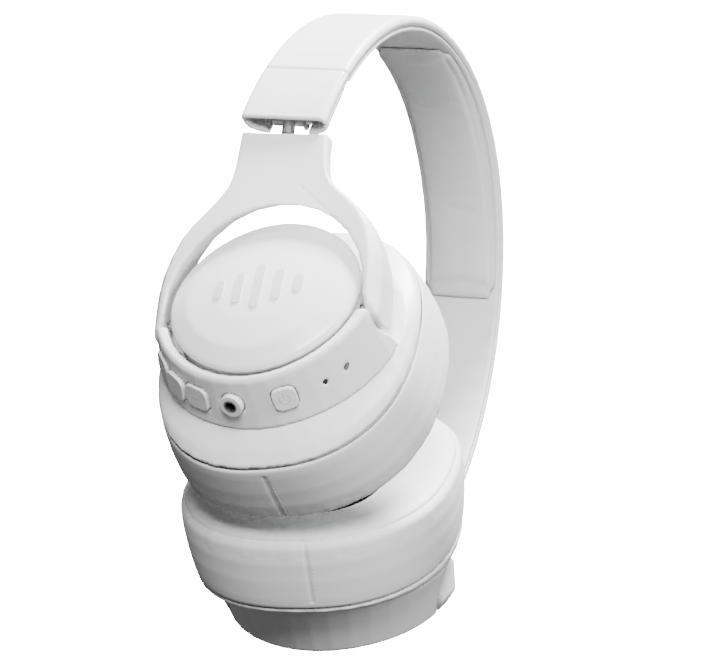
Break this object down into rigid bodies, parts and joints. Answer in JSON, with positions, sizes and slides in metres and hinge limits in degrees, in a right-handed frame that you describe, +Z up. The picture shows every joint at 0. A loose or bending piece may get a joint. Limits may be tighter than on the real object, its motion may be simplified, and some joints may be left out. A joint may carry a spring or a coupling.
{
  "type": "over-ear headphones",
  "caption": "Foldable over-ear headphones: padded sprung headband, sliding and folding arms, swivelling yokes and tilting round ear cups with thick ear pads and rim controls.",
  "frame": {"origin": "lowest point of the ear cups, centred under the headphones", "axes": "+X to the wearer's right, +Y forward, +Z up through the crown of the headband"},
  "size_m": [0.174, 0.0844, 0.2056],
  "materials": {
    "gloss_shell": "smooth white gloss",
    "satin_shell": "fine satin white",
    "light_pipe": "frosted light pipe",
    "soft_leather": "soft protein leather over foam",
    "cloth": "fine black acoustic cloth",
    "steel": "plain steel",
    "dark_plastic": "black moulded plastic",
    "board": "green circuit board"
  },
  "bodies": {
    "headband": {"headband_cover": "satin_shell", "headband_base": "satin_shell", "headband_cushion": "soft_leather", "headband_spring": "steel", "headband_lead": "dark_plastic", "right_detent_spring": "steel", "left_detent_spring": "steel"},
    "right_arm": {"right_arm_cover": "gloss_shell", "right_arm_liner": "satin_shell", "right_slider_strip": "steel", "right_hinge_bracket": "steel", "right_hinge_pin": "steel"},
    "right_hinge": {"right_hinge_block": "steel"},
    "right_yoke": {"right_yoke": "satin_shell", "right_front_pivot_pin": "steel", "right_rear_pivot_pin": "steel"},
    "right_cup": {"right_cap": "gloss_shell", "right_control_shell": "satin_shell", "right_cup_base": "satin_shell", "right_baffle": "satin_shell", "right_driver": "steel", "right_diaphragm": "dark_plastic", "right_pad_ring": "satin_shell", "right_acoustic_cloth": "cloth", "right_ear_pad": "soft_leather", "right_aux_socket": "satin_shell", "right_microphone": "dark_plastic", "right_led_pipe": "light_pipe", "right_circuit_board": "board"},
    "left_arm": {"left_arm_cover": "gloss_shell", "left_arm_liner": "satin_shell", "left_slider_strip": "steel", "left_hinge_bracket": "steel", "left_hinge_pin": "steel"},
    "left_hinge": {"left_hinge_block": "steel"},
    "left_yoke": {"left_yoke": "satin_shell", "left_front_pivot_pin": "steel", "left_rear_pivot_pin": "steel"},
    "left_cup": {"left_cap": "gloss_shell", "left_control_shell": "satin_shell", "left_cup_base": "satin_shell", "left_baffle": "satin_shell", "left_driver": "steel", "left_diaphragm": "dark_plastic", "left_pad_ring": "satin_shell", "left_acoustic_cloth": "cloth", "left_ear_pad": "soft_leather", "left_usb_port": "steel", "left_battery": "dark_plastic"},
    "right_power_button": {"right_power_button": "satin_shell"},
    "right_volume_down_key": {"right_volume_down_key": "satin_shell"},
    "right_function_key": {"right_function_key": "satin_shell"},
    "right_volume_up_key": {"right_volume_up_key": "satin_shell"}
  },
  "joints": [
    {"name": "right_size", "type": "hinge", "parent": "headband", "child": "right_arm", "pos_m": [-0.00404, -0.01037, 0.11537], "axis": [0, 1, 0], "range_deg": [0, 15.5]},
    {"name": "right_fold", "type": "hinge", "parent": "right_arm", "child": "right_hinge", "pos_m": [0.07965, -0.01037, 0.09449], "axis": [0, 1, 0], "range_deg": [0, 94], "deforming": ["right_ear_pad"]},
    {"name": "right_swivel", "type": "hinge", "parent": "right_hinge", "child": "right_yoke", "pos_m": [0.07965, -0.01037, 0.09449], "axis": [-0.3892, 0.1547, -0.9081], "range_deg": [-85, 8]},
    {"name": "right_tilt", "type": "hinge", "parent": "right_yoke", "child": "right_cup", "pos_m": [0.04966, -0.00027, 0.03847], "axis": [0.0914, 0.9874, 0.1291], "range_deg": [-10, 2]},
    {"name": "left_size", "type": "hinge", "parent": "headband", "child": "left_arm", "pos_m": [0.00404, -0.01037, 0.11537], "axis": [0, -1, 0], "range_deg": [0, 15.5]},
    {"name": "left_fold", "type": "hinge", "parent": "left_arm", "child": "left_hinge", "pos_m": [-0.07965, -0.01037, 0.09449], "axis": [0, -1, 0], "range_deg": [0, 94], "deforming": ["left_ear_pad"]},
    {"name": "left_swivel", "type": "hinge", "parent": "left_hinge", "child": "left_yoke", "pos_m": [-0.07965, -0.01037, 0.09449], "axis": [-0.3892, -0.1547, 0.9081], "range_deg": [-85, 8]},
    {"name": "left_tilt", "type": "hinge", "parent": "left_yoke", "child": "left_cup", "pos_m": [-0.04964, -0.00068, 0.03841], "axis": [0.0224, -0.9871, -0.1586], "range_deg": [-10, 2]},
    {"name": "right_power_press", "type": "slide", "parent": "right_cup", "child": "right_power_button", "axis": [-0.0692, -0.3761, 0.924], "range_m": [0, 0.0003], "stiffness_N_per_m": 900},
    {"name": "right_volume_down_press", "type": "slide", "parent": "right_cup", "child": "right_volume_down_key", "axis": [-0.0299, 0.3689, 0.929], "range_m": [0, 0.0003], "stiffness_N_per_m": 900},
    {"name": "right_function_press", "type": "slide", "parent": "right_cup", "child": "right_function_key", "axis": [-0.0526, 0.5768, 0.8152], "range_m": [0, 0.0003], "stiffness_N_per_m": 900},
    {"name": "right_volume_up_press", "type": "slide", "parent": "right_cup", "child": "right_volume_up_key", "axis": [-0.0849, 0.7572, 0.6477], "range_m": [0, 0.0003], "stiffness_N_per_m": 900}
  ]
}
